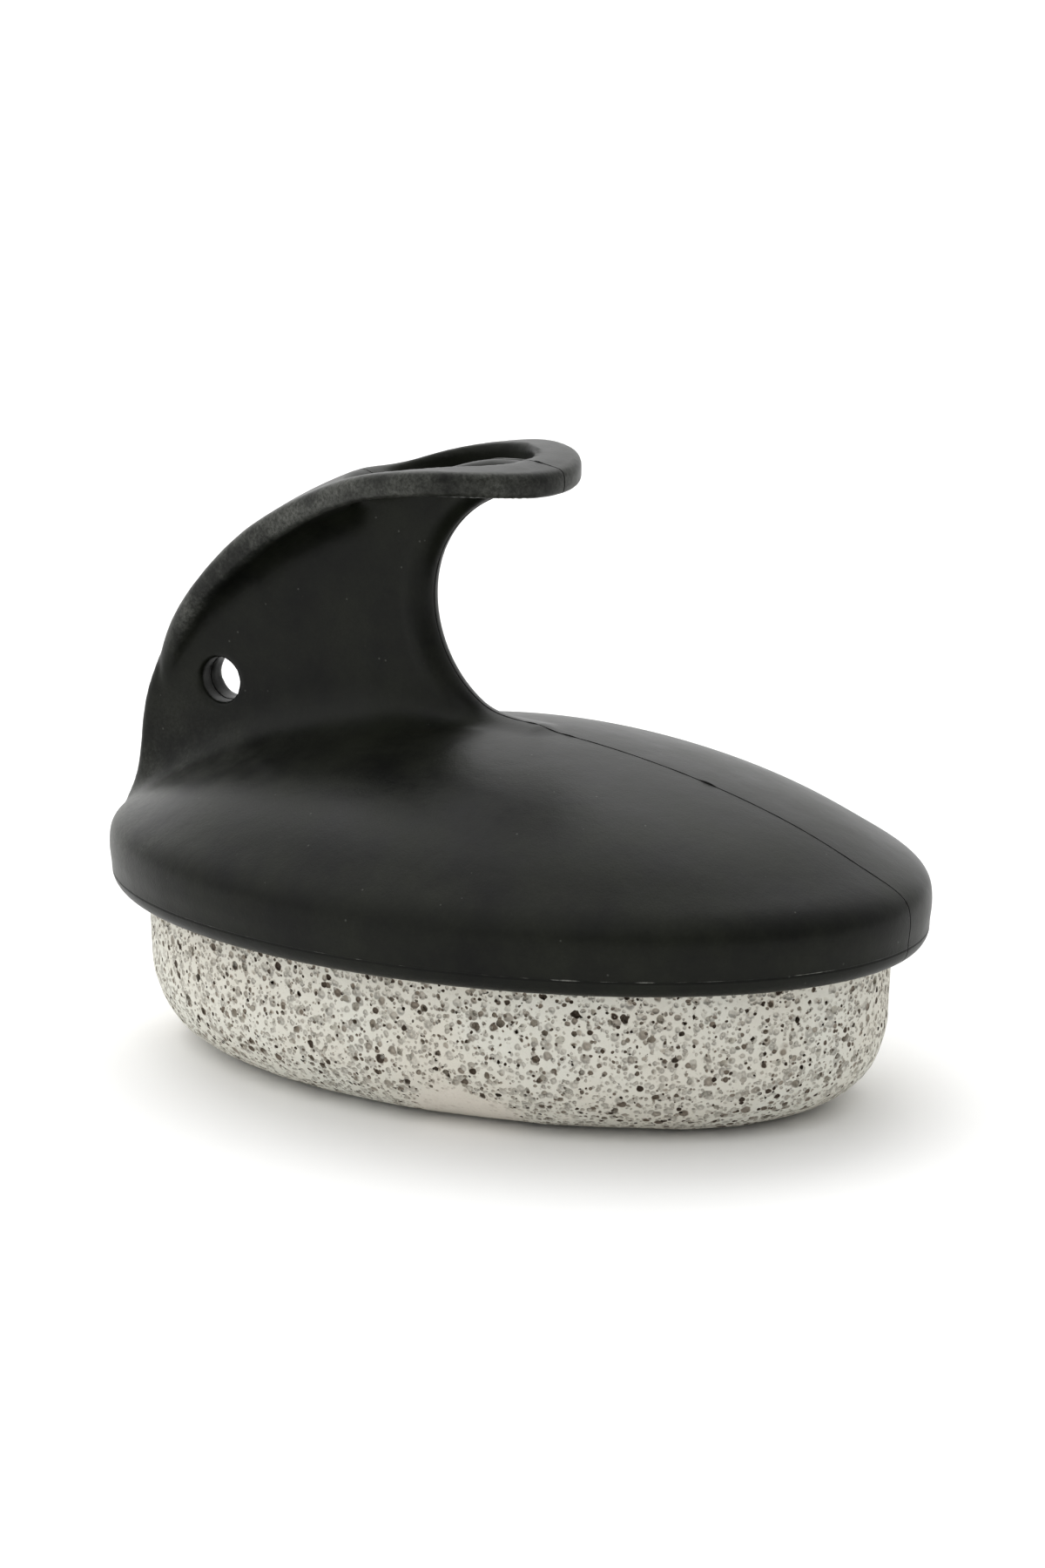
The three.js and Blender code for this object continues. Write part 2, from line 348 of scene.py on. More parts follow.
def surface_net(field, low, step):
    """Quads on the zero set of a field sampled on a regular grid."""
    inside = field < 0
    shape = np.array(field.shape)
    corners = [(i, j, k) for i in (0, 1) for j in (0, 1) for k in (0, 1)]
    count = np.zeros(shape - 1, np.int8)
    for i, j, k in corners:
        count += inside[i:shape[0] - 1 + i, j:shape[1] - 1 + j, k:shape[2] - 1 + k]
    active = (count > 0) & (count < 8)
    cells = np.argwhere(active)
    number = np.full(active.shape, -1, np.int64)
    number[active] = np.arange(len(cells))
    value = [field[cells[:, 0] + i, cells[:, 1] + j, cells[:, 2] + k] for i, j, k in corners]
    total = np.zeros((len(cells), 3))
    crossings = np.zeros(len(cells))
    for a in range(8):
        for b in range(a + 1, 8):
            step_ab = np.subtract(corners[b], corners[a])
            if np.abs(step_ab).sum() != 1:
                continue
            crossed = (value[a] < 0) != (value[b] < 0)
            share = np.where(crossed, value[a] / np.where(crossed, value[a] - value[b], 1), 0)
            place = np.array(corners[a]) + share[:, None] * step_ab
            total += np.where(crossed[:, None], place, 0)
            crossings += crossed
    points = low + (cells + total / crossings[:, None]) * step
    faces = []
    for axis in range(3):
        first = np.eye(3, dtype=int)[(axis + 1) % 3]
        second = np.eye(3, dtype=int)[(axis + 2) % 3]
        near = np.take(inside, range(shape[axis] - 1), axis)
        far = np.take(inside, range(1, shape[axis]), axis)
        edge = np.argwhere(near != far)
        quad = np.stack(
            [number[tuple((edge - back).T)] for back in (0 * first, first, first + second, second)], 1
        )
        turned = ~near[tuple(edge.T)]
        quad[turned] = quad[turned][:, ::-1]
        faces.append(quad)
    return points, np.concatenate(faces)


def settle(points, field, step, rounds=4):
    """Moves points onto the field's zero set, along its slope."""
    nudge = 0.02
    for _ in range(rounds):
        here = field(points)
        slope = np.stack(
            [(field(points + nudge * axis) - here) / nudge for axis in np.eye(3)], 1
        )
        square = np.maximum((slope ** 2).sum(1), 0.2)
        move = -slope * (here / square)[:, None]
        points = points + np.clip(move, -step / 2, step / 2)
    return points


# ---- The rubber grip -----------------------------------------------------------------------------


def spline(points, steps):
    """A smooth line through all the points, with so many steps between two of them."""
    points = np.array(points, float)
    points = np.vstack([2 * points[0] - points[1], points, 2 * points[-1] - points[-2]])
    t = np.linspace(0, 1, steps, endpoint=False)[:, None]
    pieces = []
    for a, b, c, d in zip(points[:-3], points[1:-2], points[2:-1], points[3:]):
        second = 2 * a - 5 * b + 4 * c - d
        third = 3 * b - a - 3 * c + d
        pieces.append(b + t * (c - a) / 2 + t ** 2 * second / 2 + t ** 3 * third / 2)
    return np.vstack(pieces + [points[-2:-1]])


# Side view, x and z: the grip's back edge from the heel to the ring's tip, and how it runs on at both ends.
TIP_X = 7.5
BACK_LINE = [
    (-54.3, 28.4), (-54.45, 35.2), (-52.75, 43.5), (-47.45, 53.1), (-38.7, 62.2),
    (-28, 69.4), (-16.7, 74.3), (-5.7, 76.5), (2.1, 76.6), (TIP_X, 75.8),
]
BACK_INTO_DOME = [(-44, 12), (-52.6, 24)]
BACK_INTO_AIR = [(34, 71)]
# The hollow of the web's front edge, and how it runs on.
FRONT_CURVE = [(4, 43.1), (-13.4, 43), (-18.8, 70.3), (4.5, 73.5)]
FRONT_INTO_DOME = [(24, 14), (12, 36)]
FRONT_INTO_AIR = [(6, 80)]
# Plan, x and y: where the band begins, where it meets the ring, and where the ring is widest.
BAND_START_X = -51
RING_START = (-22, -10.1)
RING_WIDEST_X = -4.5
# The ring's hole in plan: its middle and half its length and width. The hanging hole's middle in side view.
RING_HOLE_X, RING_HOLE_HALF_X, RING_HOLE_HALF_Y = -10.0, 11.6, 10.9
HANGING_HOLE = (-41.7, 44.6)
# How deep the web's crest lies under the band's and the ring's upper face, from the heel to the tip.
CREST_X = [-50, -43, -22, -12, -8.9, -5.3, -2.2, 1.6]
CREST_DEPTH = [0, 2.4, 2.4, 1.9, 1.4, 0.8, 0.4, 0.15]
# Powers of the dome's arch, along and across, and how much fuller it is near the rim.
ARCH_ALONG, ARCH_ACROSS, SHOULDER, SHOULDER_HEIGHT = 1.56, 1.76, 0.75, 0.21
# Small radii: the web's crest, the ring hole's edge, the edges of the bore and of the seat, and the least
# reach of the hollow under the band.
CREST_RADIUS, HOLE_EDGE, BORE_EDGE, TIGHT_FILLET = 2.0, 0.7, 0.35, 0.3


def grip_lines(s):
    """The lines of the side view and the plan that the grip's shape follows."""
    back = np.vstack([BACK_INTO_DOME, spline(BACK_LINE, 9), BACK_INTO_AIR])
    front = np.vstack([FRONT_INTO_DOME, bezier(FRONT_CURVE, 72), FRONT_INTO_AIR])
    slim = s.panel_thickness / 2
    widest = (RING_WIDEST_X, -s.ring_half_width)
    near = np.vstack([
        [(-80, -slim)],
        bezier([(BAND_START_X, -slim), (-45, -6.4), (-33, -6.2), RING_START], 24),
        bezier([RING_START, (-15, -12.4), (-10, widest[1]), widest], 16)[1:],
        bezier([widest, (1.5, widest[1]), (TIP_X, -8), (TIP_X, 0)], 24)[1:],
    ])
    far = near[-2::-1] * (1, -1)
    return SimpleNamespace(back=back, front=front, plan=np.vstack([near, far]), near=near)


def crest_depth(x):
    """How deep the web's crest lies under the band's upper face."""
    return np.interp(x, CREST_X, CREST_DEPTH)


def grip_field(s, lines):
    """The grip's distance field, as a function of x, y and z."""
    inside_box = 0.01
    half_x, half_y = GRIP_HIGH.x / MM - inside_box, GRIP_HIGH.y / MM - inside_box
    stone_x, stone_y = half_x - s.wall, half_y - s.wall
    rise = s.dome_top - s.side_top
    half_web = s.web_thickness / 2
    half_panel = s.panel_thickness / 2

    def dome(x, y, z):
        crowned = s.parting_inset * ease(s.side_top - z, 0, s.side_top - s.parting_height)
        side = oval_side(x, y, half_x, half_y) + crowned
        share = np.hypot(x / half_x, y / half_y) + 1e-6
        turn = (x / half_x / share) ** 2
        lift = np.maximum(z - s.side_top, 0) / rise
        # The arch is fuller near the rim, which gives its soft round shoulder.
        shoulder = SHOULDER * np.exp(-(lift / share / SHOULDER_HEIGHT) ** 2)
        arch = ARCH_ALONG * turn + ARCH_ACROSS * (1 - turn) + shoulder
        norm = (share ** arch + lift ** arch) ** (1 / arch)
        plan_slope = np.hypot(x / half_x ** 2, y / half_y ** 2) / share
        slope = np.hypot(plan_slope * (share / norm) ** (arch - 1), (lift / norm) ** (arch - 1) / rise)
        top = np.where(z > s.side_top, (norm - 1) / slope, side)
        under = round_meet(side, s.parting_height - s.lip_radius - z, s.lip_radius)
        return np.maximum(top, under)

    def upright(x, y, z):
        # The middle of the band's back stands a little proud.
        proud = 0.12 * ease(-x, 18, 34) * ease(z, 44, 52)
        behind = line_side(lines.back, x, z) - proud
        depth = line_side(lines.front, x, z)
        # The web is thickest at its round front edge.
        half = half_web + (half_panel - half_web) * ease(depth, 1.2, 4.0)
        web = np.hypot(np.maximum(half_web - depth, 0), y) - half
        # Inside the ring's hole the web's crest is round, and climbs to the ring's tip.
        web = round_meet(web, behind + crest_depth(x), CREST_RADIUS)
        thickness = s.heel_thickness + (s.band_thickness - s.heel_thickness) * ease(x, -45, -20)
        strip = np.abs(behind + thickness / 2) - thickness / 2
        plate = round_meet(strip, -line_side(lines.plan, x, y), s.band_edge)
        hole = oval_side(x - RING_HOLE_X, y, RING_HOLE_HALF_X, RING_HOLE_HALF_Y)
        plate = round_meet(plate, -hole, HOLE_EDGE)
        # The hollow under the band is as wide as the band stands out, and ends before the ring's tip.
        flare = np.interp(x, lines.near[:, 0], -lines.near[:, 1])
        reach = np.clip((flare - half_panel) * 1.7, TIGHT_FILLET, s.band_fillet)
        reach = TIGHT_FILLET + (reach - TIGHT_FILLET) * ease(-x, 6, 20)
        return soft_join(web, plate, reach), depth

    def field(x, y, z):
        body = dome(x, y, z)
        web, depth = upright(x, y, z)
        root = s.root_fillet + (s.heel_fillet - s.root_fillet) * ease(-x, 30, 46)
        reach = s.front_fillet + (root - s.front_fillet) * ease(depth, 0.5, 12)
        body = np.maximum(soft_join(body, web, reach), oval_side(x, y, half_x, half_y))
        seat = np.maximum(oval_side(x, y, stone_x, stone_y), z - s.seat_height)
        body = round_meet(body, -seat, BORE_EDGE)
        # The two halves of the bore miss each other by a hair at the parting plane.
        miss = 0.15 * ease(y, -0.2, 0.2)
        bore = np.hypot(x - HANGING_HOLE[0], z - HANGING_HOLE[1]) - s.hole_radius + miss
        return round_meet(body, -bore, BORE_EDGE)

    return field


def at_points(field):
    """The field as a function of an array of points."""
    return lambda points: field(points[:, 0], points[:, 1], points[:, 2])


def grip_mesh(s, field):
    """The grip's skin as points and faces."""
    margin = 3 * s.cell
    low = np.array(GRIP_LOW) / MM - margin
    high = np.array(GRIP_HIGH) / MM + margin
    axes = [np.arange(a, b, s.cell) for a, b in zip(low, high)]
    x, y, z = axes[0][:, None, None], axes[1][None, :, None], axes[2][None, None, :]
    points, faces = surface_net(field(x, y, z), low, s.cell)
    return settle(points, at_points(field), s.cell), faces


def rubber_material(s):
    """Natural rubber, compression moulded and bead blasted: nearly black, matt, with a faint sheen where
    light grazes it, and a whitish bloom where hands and boxes rub it. On the shoulder above the heel and on
    the flash that bloom is partly a painted highlight."""
    material, tree, shader = new_material("Moulded natural rubber")
    place = add(tree, "ShaderNodeTexCoord").outputs["Object"]
    bloom_and_highlight_mask = add(tree, ATTRIBUTE, attribute_name="bloom").outputs["Fac"]

    # The bloom lies in clouds a few millimetres wide, broken up by dust specks.
    clouds = add(tree, NOISE, {"Vector": place, "Scale": 1 / (11 * MM), "Detail": 6.0, "Roughness": 0.65})
    specks = add(tree, NOISE, {"Vector": place, "Scale": 1 / (0.5 * MM), "Detail": 3.0, "Roughness": 0.7})
    cloudy = add(tree, RAMP, [clouds], stops=[(0.38, 0.1), (0.66, 1.0)])
    specked = add(tree, RAMP, [specks], stops=[(0.35, 0.25), (0.68, 1.0)])
    broken = add(tree, MATH, [cloudy, specked], operation="MULTIPLY")
    # The bloom mask also carries painted highlights: a patch on the shoulder above the heel, and the flash.
    dust_and_highlight = add(tree, MATH, [bloom_and_highlight_mask, 0.02], operation="ADD")
    dust_and_highlight = add(tree, MATH, [broken, dust_and_highlight], operation="MULTIPLY", use_clamp=True)
    # The rubber itself drifts between a black and an olive black.
    drift = add(tree, RAMP, [clouds], stops=[(0.35, 0.0), (0.65, 1.0)])
    colour = add(tree, MIX, {0: drift, 6: s.black, 7: s.olive}, data_type="RGBA").outputs[2]
    colour = add(tree, MIX, {0: dust_and_highlight, 6: colour, 7: s.bloom}, data_type="RGBA").outputs[2]

    # Single dust grains, about a quarter of a millimetre across.
    grains = add(tree, CELLS, {"Vector": place, "Scale": 1 / (2.2 * MM)})
    grain = add(tree, RAMP, [grains], stops=[(0.04, 1.0), (0.08, 0.0)])
    chosen = add(tree, RAMP, [grains.outputs["Color"]], stops=[(0.6, 0.0), (0.68, 1.0)])
    dust = add(tree, MATH, [grain, chosen], operation="MULTIPLY")
    dust = add(tree, MATH, [dust, 0.22], operation="MULTIPLY")
    colour = add(tree, MIX, {0: dust, 6: colour, 7: s.bloom}, data_type="RGBA").outputs[2]

    # The mould's parting lines: a slight groove beside the flash, in the plane Y = 0 and round the rim,
    # darkened by painted shade into a hairline.
    split = add(tree, "ShaderNodeSeparateXYZ", [place])
    wander = add(tree, NOISE, {"Vector": place, "Scale": 1 / (6 * MM), "Detail": 2.0})
    sway = add(tree, MATH, [wander, 0.10 * MM, 0.07 * MM], operation="MULTIPLY_ADD")
    off_middle = add(tree, MATH, [split.outputs["Y"], sway], operation="ADD")
    off_middle = add(tree, MATH, [off_middle], operation="ABSOLUTE")
    seam = add(tree, MATH, [off_middle, -1 / (0.10 * MM), 1.6], operation="MULTIPLY_ADD", use_clamp=True)
    outside = add(tree, ATTRIBUTE, attribute_name="rim").outputs["Fac"]
    off_rim = add(tree, MATH, [split.outputs["Z"], s.parting_height * MM], operation="SUBTRACT")
    off_rim = add(tree, MATH, [off_rim, sway], operation="ADD")
    off_rim = add(tree, MATH, [off_rim], operation="ABSOLUTE")
    under_rim = add(tree, MATH, [off_rim, -1 / (0.12 * MM), 1.6], operation="MULTIPLY_ADD", use_clamp=True)
    under_rim = add(tree, MATH, [under_rim, outside], operation="MULTIPLY")
    under_rim = add(tree, MATH, [under_rim, 0.45], operation="MULTIPLY")
    crease = add(tree, MATH, [seam, under_rim], operation="MAXIMUM")
    # Painted shade: the hairline beside the flash is mixed towards near black.
    painted_shade = add(tree, MATH, [crease, 0.9], operation="MULTIPLY")
    colour = add(tree, MIX, {0: painted_shade, 6: colour, 7: "#030303"}, data_type="RGBA").outputs[2]

    # Blasted grain of about 0.25 mm, and slow unevenness that breaks up the sheen.
    fine = add(tree, NOISE, {"Vector": place, "Scale": 1 / (0.28 * MM), "Detail": 2.0})
    slow = add(tree, NOISE, {"Vector": place, "Scale": 1 / (7 * MM), "Detail": 4.0})
    height = add(tree, MATH, [fine, 0.014 * MM], operation="MULTIPLY")
    height = add(tree, MATH, [slow, 0.12 * MM, height], operation="MULTIPLY_ADD")
    height = add(tree, MATH, [crease, -0.14 * MM, height], operation="MULTIPLY_ADD")
    bump = add(tree, "ShaderNodeBump", {"Height": height, "Strength": 1.0, "Distance": 1.0})
    roughness = add(tree, MATH, [clouds, 0.20, 0.28], operation="MULTIPLY_ADD")
    roughness = add(tree, MATH, [crease, 0.4, roughness], operation="MULTIPLY_ADD")
    tree.links.new(colour, shader.inputs["Base Color"])
    tree.links.new(roughness.outputs[0], shader.inputs["Roughness"])
    tree.links.new(bump.outputs["Normal"], shader.inputs["Normal"])
    shader.inputs["IOR"].default_value = 1.5
    shader.inputs["Specular IOR Level"].default_value = 0.125
    shader.inputs["Sheen Weight"].default_value = 0.03
    shader.inputs["Sheen Roughness"].default_value = 0.2
    return material


def seam_line(s, lines):
    """The parting line in the plane Y = 0: over the dome, up the web's front edge, round the ring's tip,
    along the crest in the hole, and down the back to the heel."""
    half_x = GRIP_HIGH.x / MM
    rise = s.dome_top - s.side_top
    # A rough arch is enough, because the line is settled onto the rubber's surface afterwards.
    turn = np.linspace(0, 0.93, 40) * math.pi / 2
    over_dome = np.stack([half_x * np.cos(turn) ** 1.25, s.side_top + rise * np.sin(turn) ** 1.25], 1)
    up_front = lines.front[len(FRONT_INTO_DOME) + 2:-len(FRONT_INTO_AIR)]
    round_tip = [(6, 73.2), (7.3, 73.9), (7.5, 74.6), (7.1, 75.6), (5.6, 76.2), (3.6, 76.5), (1.8, 76.7)]
    back = lines.back[len(BACK_INTO_DOME):-len(BACK_INTO_AIR)]
    crest_x = np.linspace(0.5, -20, 30)
    crest_z = np.interp(crest_x, back[:, 0], back[:, 1]) - crest_depth(crest_x)
    down_back = back[back[:, 0] < RING_START[0]][::-1]
    line = np.vstack([
        [(half_x - 0.2, s.parting_height)], over_dome, up_front, round_tip,
        np.stack([crest_x, crest_z], 1), down_back, [(-half_x + 0.2, s.parting_height)],
    ])
    return np.stack([line[:, 0], 0 * line[:, 0], line[:, 1]], 1)


def rim_line(s):
    """The parting line round the rim."""
    angle = np.linspace(0, 2 * math.pi, 720, endpoint=False)
    sunk = s.parting_inset + 0.06
    half_x = GRIP_HIGH.x / MM - sunk
    half_y = GRIP_HIGH.y / MM - sunk
    return np.stack([half_x * np.cos(angle), half_y * np.sin(angle), 0 * angle + s.parting_height], 1)


def flash_tree():
    """Geometry Nodes: a thin uneven ridge of rubber squeezed out along a line, with a few thicker tags."""
    tree, inputs = geometry_tree("Moulding flash", {
        "Line": "Geometry", "Width": "Float", "Tag width": "Float", "Seed": "Float", "Material": "Material",
    })
    line = add(tree, "GeometryNodeMeshToCurve", [inputs["Line"]])
    even = add(tree, "GeometryNodeResampleCurve", {"Curve": line, "Length": 0.4 * MM}, mode="LENGTH")
    position = add(tree, "GeometryNodeInputPosition")
    shift = add(tree, "ShaderNodeCombineXYZ", [inputs["Seed"]])
    lookup = add(tree, VECTOR_MATH, [position, shift], operation="ADD")
    waver = add(tree, NOISE, {"Vector": lookup, "Scale": 1 / (2.5 * MM), "Detail": 3.0})
    tags = add(tree, NOISE, {"Vector": lookup, "Scale": 1 / (5 * MM), "Detail": 0.0})
    thin = add(tree, MATH, [waver, 1.4, -0.15], operation="MULTIPLY_ADD")
    thin = add(tree, MATH, [inputs["Width"], thin], operation="MULTIPLY")
    tag = add(tree, MATH, [tags, 9.0, -6.3], operation="MULTIPLY_ADD", use_clamp=True)
    radius = add(tree, MATH, [tag, inputs["Tag width"], thin], operation="MULTIPLY_ADD")
    radius = add(tree, MATH, [radius, 0.5], operation="MULTIPLY")
    ring = add(tree, "GeometryNodeCurvePrimitiveCircle", {"Resolution": 6, "Radius": 1.0})
    sized = add(tree, "GeometryNodeSetCurveRadius", {"Curve": even, "Radius": radius})
    tube = add(tree, "GeometryNodeCurveToMesh", {"Curve": sized, "Profile Curve": ring, "Fill Caps": True})
    if "Scale" in tube.inputs:
        tree.links.new(radius.outputs[0], tube.inputs["Scale"])
    finish_tree(tree, tube, inputs["Material"])
    return tree


def flash_ridge(name, line, closed, material, tree, width, tag_width, seed):
    """A ridge of flash along a line in millimetres."""
    count = len(line)
    edges = [(i, (i + 1) % count) for i in range(count if closed else count - 1)]
    ridge = make_object(name, line, [], material)
    mesh = ridge.data
    mesh.edges.add(len(edges))
    mesh.edges.foreach_set("vertices", np.ravel(edges))
    modifier = ridge.modifiers.new("Flash", "NODES")
    modifier.node_group = tree
    set_input(modifier, "Width", width * MM)
    set_input(modifier, "Tag width", tag_width * MM)
    set_input(modifier, "Seed", seed)
    set_input(modifier, "Material", material)
    baked(ridge)
    ridge.data.shade_smooth()
    return ridge


def bloom_and_painted_light(lines, x, y, z):
    """How much bloom each point has, from 0 to 1: dust bloom on the band, where hands and boxes rub it, and a
    patch on the shoulder above the heel that is partly bloom and partly a painted highlight where light falls
    from the left."""
    behind = line_side(lines.back, x, z)
    edge = -line_side(lines.plan, x, y)
    on_band = ease(-behind, 3.6, 2.4) * ease(edge, -1.8, -0.5) * ease(z, 46, 56)
    bloom_and_highlight_spot, bloom_and_highlight_size = (-46, -14, 30), (13, 12, 8)
    away = sum(((value - middle) / size) ** 2 for value, middle, size in zip((x, y, z), bloom_and_highlight_spot, bloom_and_highlight_size))
    return np.clip(on_band * (0.5 + 0.4 * ease(-x, 8, 24)) + np.exp(-away) * 0.7, 0, 1)


class GRIP_OT_build(bpy.types.Operator):
    """Build the moulded rubber grip"""

    bl_idname = "pumice.build_grip"
    bl_label = "Rubber grip"

    def execute(self, context):
        s = in_mm(context.scene.pumice_grip)
        lines = grip_lines(s)
        field = grip_field(s, lines)
        points, faces = grip_mesh(s, field)
        grip = make_object("rubber_grip", points, faces, rubber_material(s))
        x, y, z = points.T
        side = oval_side(x, y, GRIP_HIGH.x / MM, GRIP_HIGH.y / MM)
        set_attribute(grip.data, "rim", (side > -1.5) & (z < s.side_top))
        # This bloom also carries a painted highlight on the shoulder above the heel.
        set_attribute(grip.data, "bloom", bloom_and_painted_light(lines, x, y, z))
        hang_on_frame(grip, "rubber_handle")

        tree = flash_tree()
        material = grip.data.materials[0]
        upright = seam_line(s, lines)
        upright = settle(upright, at_points(field), 1.0, rounds=8)
        upright[:, 1] = 0
        inside = GRIP_HIGH.x / MM - 0.3
        upright[:, 0] = np.clip(upright[:, 0], -inside, inside)
        # The flash is dustier than the rubber beside it, and its lighter bloom is also a painted highlight
        # along the ridge's lit top; round the rim it has smaller tags.
        ridges = (
            ("upright_flash", upright, False, s.flash_tag, 1.2),
            ("rim_flash", rim_line(s), True, s.flash_tag / 3, 1.8),
        )
        for name, line, closed, tag, bloom in ridges:
            ridge = flash_ridge(name, line, closed, material, tree, s.flash_width, tag, FLASH_SEED)
            set_attribute(ridge.data, "bloom", np.full(len(ridge.data.vertices), bloom))
            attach(ridge, BODY)
        return {"FINISHED"}


# ---- The stone -----------------------------------------------------------------------------------


# The hard patch low on the near side: its middle, how far it reaches, and the shallow chip in it.
PATCH = (9.5, -27.0, 2.5)
PATCH_REACH = (7.0, 4.5, 4.2)
CHIP_REACH = (6.5, 4.0, 4.0)
CHIP_DEPTH = 0.55
# How much wider the stone is at the top of its side than above the worn edge.
TAPER = 0.4


def stone_point(s, angle, run):
    """Points on the smooth stone. angle turns round it, and run goes from 0 in the middle of the underside,
    over the worn edge, to 1 at the top of the side."""
    reach = STONE_HIGH.x / MM
    draw_in = reach - STONE_HIGH.y / MM
    top = STONE_HIGH.z / MM
    flat = reach - TAPER - s.edge_radius
    arc = s.edge_radius * math.pi / 2
    whole = flat + arc + top - s.edge_radius
    way = run * whole
    on_flat = np.minimum(way, flat)
    turn = np.clip((way - flat) / s.edge_radius, 0, math.pi / 2)
    up = np.maximum(way - flat - arc, 0)
    radius = on_flat + s.edge_radius * np.sin(turn) + TAPER * up / (top - s.edge_radius)
    height = s.edge_radius * (1 - np.cos(turn)) + up
    drawn = radius * (1 - draw_in / np.maximum(radius, flat))
    return np.stack([radius * np.cos(angle), drawn * np.sin(angle), height + 0 * angle], -1)


def worn_stone(points):
    """Wear and unevenness of the stone's skin: how far each point lies under the ideal shape, in mm."""
    uneven = 0.14 + 0.10 * soft_noise(points, 17, 3) + 0.05 * soft_noise(points, 6, 4)
    chip = np.exp(-(((points - PATCH) / CHIP_REACH) ** 2).sum(1))
    return np.maximum(uneven, 0) + CHIP_DEPTH * chip


def stone_body(s):
    """The stone before its pores: a closed mesh of quads, with poles under it and on its top."""
    around, rows, top_rings = 176, 42, 5
    angle = np.linspace(0, 2 * math.pi, around, endpoint=False)
    runs = np.linspace(0, 1, rows + 1)[1:]
    points = stone_point(s, angle[None, :], runs[:, None]).reshape(-1, 3)
    points = np.vstack([[(0, 0, 0)], points])
    # Wear goes straight up on the underside and inwards on the side.
    level = points[:, :2] * (0.45, 1)
    reach = np.maximum(np.hypot(level[:, 0], level[:, 1]), 1e-3)
    inward = np.empty_like(points)
    inward[:, :2] = -level / reach[:, None] * ease(points[:, 2], 0.5, 9)[:, None]
    inward[:, 2] = 1 - ease(points[:, 2], 0, 10)
    inward /= np.linalg.norm(inward, axis=1)[:, None]
    top = STONE_HIGH.z / MM
    held = ease(points[:, 2], top - 3, top - 6)
    points = points + inward * (worn_stone(points) * held)[:, None]
    low = points[:, 2].min()
    points[:, 2] -= low * (1 - points[:, 2] / top)
    last = points[-around:]
    for ring in range(1, top_rings + 1):
        share = 1 - ring / (top_rings + 1)
        points = np.vstack([points, last * (share, share, 1)])
    points = np.vstack([points, [(0, 0, top)]])
    faces = []
    total_rows = rows + top_rings
    for i in range(around):
        j = (i + 1) % around
        faces.append((0, 1 + j, 1 + i))
        for r in range(total_rows - 1):
            a = 1 + r * around
            b = a + around
            faces.append((a + i, a + j, b + j, b + i))
        a = 1 + (total_rows - 1) * around
        faces.append((a + i, a + j, len(points) - 1))
    return points, faces


def smooth_patch(points):
    """How much of each place lies in the hard worn patch low on the near side, from 0 to 1."""
    away = (((points - PATCH) / PATCH_REACH) ** 2).sum(1)
    away = away * (1 + 0.35 * soft_noise(points, 5, 9))
    return ease(away, 1.5, 0.7)


def pore_places(s, points, faces, tries, largest, smallest, seed):
    """Dart throwing over the stone's skin, largest pores first: centres, radii and sinks. A sink is how
    deep a pore's centre lies under the skin, as a share of its radius."""
    rng = np.random.default_rng(seed)
    first = np.array([points[f[0]] for f in faces])
    along = np.array([points[f[1]] for f in faces]) - first
    across = np.array([points[f[-1]] for f in faces]) - first
    normals = np.cross(along, across)
    size = np.linalg.norm(normals, axis=1)
    normals /= np.maximum(size, 1e-9)[:, None]
    height = first[:, 2]
    # Fewer pores are cut under the stone, where the rubbing has closed many of them, and none near its
    # hidden top.
    underside, below_top = 0.8, 3.4
    wanted = size * np.where(height < underside, s.underside_share, 1.0)
    wanted *= (height < STONE_HIGH.z / MM - below_top) & (size > 1e-6)
    picks = rng.choice(len(faces), tries, p=wanted / wanted.sum())
    share = rng.random((tries, 2))
    places = first[picks] + along[picks] * share[:, :1] + across[picks] * share[:, 1:]

    # Openings follow a skewed spread: many small, few large.
    opening = np.sort(smallest + (largest - smallest) * rng.random(tries) ** 1.4)[::-1] / 2
    sink = rng.choice([-0.55, -0.3, 0.0, 0.3, 0.6], tries, p=[0.20, 0.27, 0.23, 0.18, 0.12])
    sink = sink + rng.uniform(-0.12, 0.12, tries)
    radius = opening / np.sqrt(1 - sink ** 2)
    centres = places - normals[picks] * (sink * radius)[:, None]
    blocked = rng.random(tries) < 0.95 * smooth_patch(places)
    tree = KDTree(tries)
    for i, centre in enumerate(centres):
        tree.insert(Vector(centre), i)
    tree.balance()
    gap = s.pore_wall
    for i in range(tries):
        if blocked[i]:
            continue
        for _, j, distance in tree.find_range(Vector(centres[i]), 2 * radius[i] * 1.5 + gap):
            if j > i and distance < radius[i] + radius[j] + gap:
                blocked[j] = True
    kept = np.flatnonzero(~blocked)
    return centres[kept], radius[kept], sink[kept]


